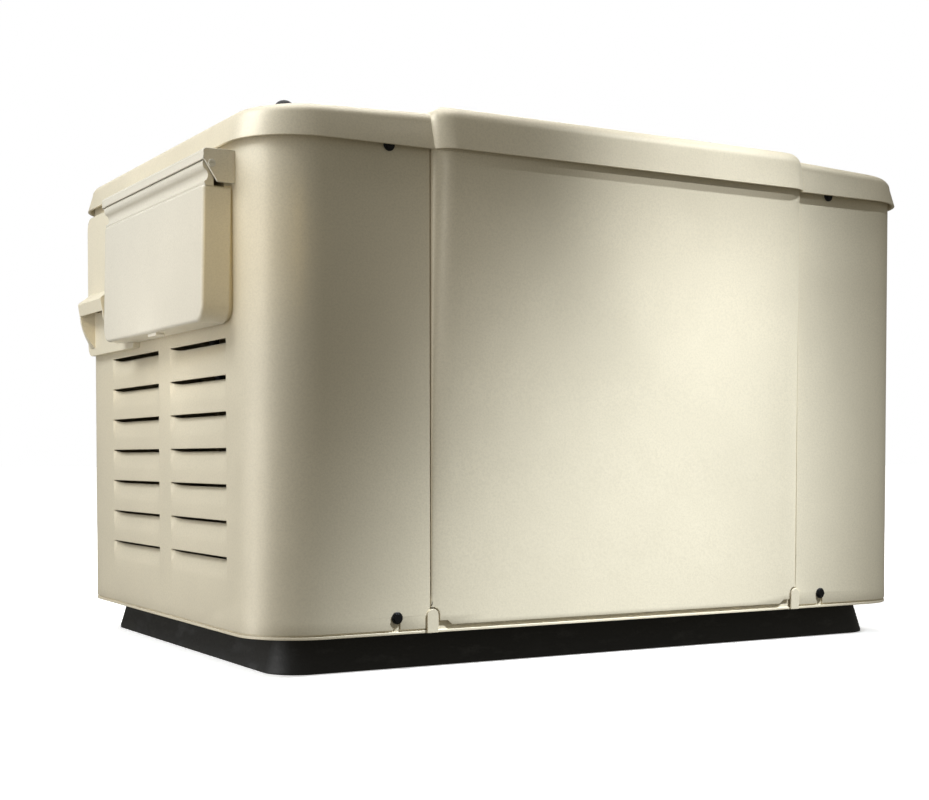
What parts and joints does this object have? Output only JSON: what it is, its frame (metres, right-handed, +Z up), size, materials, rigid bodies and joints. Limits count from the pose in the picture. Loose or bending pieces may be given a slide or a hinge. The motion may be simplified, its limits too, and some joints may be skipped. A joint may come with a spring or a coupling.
{
  "type": "home standby generator",
  "caption": "Standby generator in a cream sheet-metal cabinet on a black pad, with a hinged roof, a flip-up control door, louvred ends and an air-cooled engine and alternator inside.",
  "frame": {"origin": "centre of the pad's underside, on the ground", "axes": "+X along the cabinet's length towards the exhaust end, with the control door at the -X end; +Y towards the hinged back, so the front panel faces -Y; +Z up"},
  "size_m": [0.9805, 0.7, 0.621],
  "materials": {
    "cream_paint": "textured powder coat",
    "door_paint": "smooth satin paint",
    "cream_plastic": "moulded, fine grain",
    "pad_black": "moulded composite",
    "black_hardware": "black oxide",
    "zinc_steel": "zinc plated",
    "galvanised": "galvanised sheet",
    "cast_aluminium": "as cast",
    "machined_steel": "machined",
    "lamination": "varnished laminations",
    "engine_black": "satin black paint",
    "engine_grey": "satin grey paint",
    "rubber": "moulded rubber",
    "black_plastic": "fine grain",
    "battery_plastic": "polypropylene",
    "muffler_steel": "aluminised, heat stained",
    "brass": "machined",
    "ceramic_white": "glazed",
    "filter_white": "gloss paint",
    "board_green": "solder mask",
    "display_glass": "smoked window",
    "lamp_lens": "tinted lens",
    "key_green": "satin key cap",
    "key_red": "satin key cap",
    "key_blue": "satin key cap",
    "key_grey": "satin key cap",
    "toggle_white": "moulded",
    "breaker_black": "moulded phenolic",
    "dipstick_yellow": "moulded"
  },
  "bodies": {
    "cabinet": {"base_pad": "pad_black", "base_pan": "cream_paint", "left_end_wrap": "cream_paint", "right_end_wrap": "cream_paint", "front_panel": "cream_paint", "rear_panel": "cream_paint", "frame_hinge_leaves": "zinc_steel", "hinge_pins": "zinc_steel", "wrap_bolts": "black_hardware", "control_bezel": "cream_plastic", "door_hood": "door_paint", "door_pivot_screws": "zinc_steel", "controller_housing": "black_plastic", "circuit_board": "board_green", "display_window": "display_glass", "status_lights": "lamp_lens", "main_breaker": "breaker_black", "fuse_holder": "black_plastic", "battery_tray": "black_plastic", "battery": "battery_plastic", "battery_strap": "zinc_steel", "rubber_mounts": "rubber", "engine_cradle": "engine_grey", "crankcase": "cast_aluminium", "cylinder_barrel": "cast_aluminium", "piston": "cast_aluminium", "cylinder_head": "cast_aluminium", "rocker_cover": "cast_aluminium", "spark_plug": "ceramic_white", "air_filter_box": "black_plastic", "fuel_mixer": "cast_aluminium", "fuel_hose": "rubber", "gas_regulator": "engine_grey", "gas_inlet_pipe": "brass", "muffler": "muffler_steel", "exhaust_pipe": "muffler_steel", "partition_wall": "galvanised", "stator": "lamination", "alternator_can": "engine_grey", "alternator_end_bell": "cast_aluminium", "shaft_bearing": "machined_steel", "blower_housing": "engine_black", "starter_motor": "engine_black", "oil_filter": "filter_white", "dipstick": "dipstick_yellow", "conduit_bushing": "zinc_steel", "engine_bolts": "zinc_steel"},
    "roof_assembly": {"roof": "cream_paint", "roof_plugs": "rubber", "roof_hinge_leaves": "zinc_steel"},
    "door": {"control_door": "door_paint"},
    "auto_key": {"key_auto": "key_green"},
    "off_key": {"key_off": "key_red"},
    "manual_key": {"key_manual": "key_blue"},
    "menu_key": {"key_menu": "key_grey"},
    "enter_key": {"key_enter": "key_grey"},
    "toggle": {"breaker_toggle": "toggle_white"},
    "rotating_group": {"crankshaft": "machined_steel", "rotor": "lamination", "flywheel": "cast_aluminium"}
  },
  "joints": [
    {"name": "roof_hinge", "type": "hinge", "parent": "cabinet", "child": "roof_assembly", "pos_m": [0, 0.343, 0.567], "axis": [-1, 0, 0], "range_deg": [0, 100]},
    {"name": "door_hinge", "type": "hinge", "parent": "cabinet", "child": "door", "pos_m": [-0.494, 0, 0.548], "axis": [0, 1, 0], "range_deg": [-1.2, 98]},
    {"name": "toggle_hinge", "type": "hinge", "parent": "cabinet", "child": "toggle", "pos_m": [-0.464, 0, 0.462], "axis": [0, 1, 0], "range_deg": [-44, 0]},
    {"name": "engine_spin", "type": "hinge", "parent": "cabinet", "child": "rotating_group", "pos_m": [0, 0.02, 0.225], "axis": [1, 0, 0], "continuous": true},
    {"name": "auto_key_press", "type": "slide", "parent": "cabinet", "child": "auto_key", "axis": [1, 0, 0], "range_m": [0, 0.001], "stiffness_N_per_m": 600, "springref_m": -0.0005},
    {"name": "off_key_press", "type": "slide", "parent": "cabinet", "child": "off_key", "axis": [1, 0, 0], "range_m": [0, 0.001], "stiffness_N_per_m": 600, "springref_m": -0.0005},
    {"name": "manual_key_press", "type": "slide", "parent": "cabinet", "child": "manual_key", "axis": [1, 0, 0], "range_m": [0, 0.001], "stiffness_N_per_m": 600, "springref_m": -0.0005},
    {"name": "menu_key_press", "type": "slide", "parent": "cabinet", "child": "menu_key", "axis": [1, 0, 0], "range_m": [0, 0.001], "stiffness_N_per_m": 600, "springref_m": -0.0005},
    {"name": "enter_key_press", "type": "slide", "parent": "cabinet", "child": "enter_key", "axis": [1, 0, 0], "range_m": [0, 0.001], "stiffness_N_per_m": 600, "springref_m": -0.0005}
  ]
}
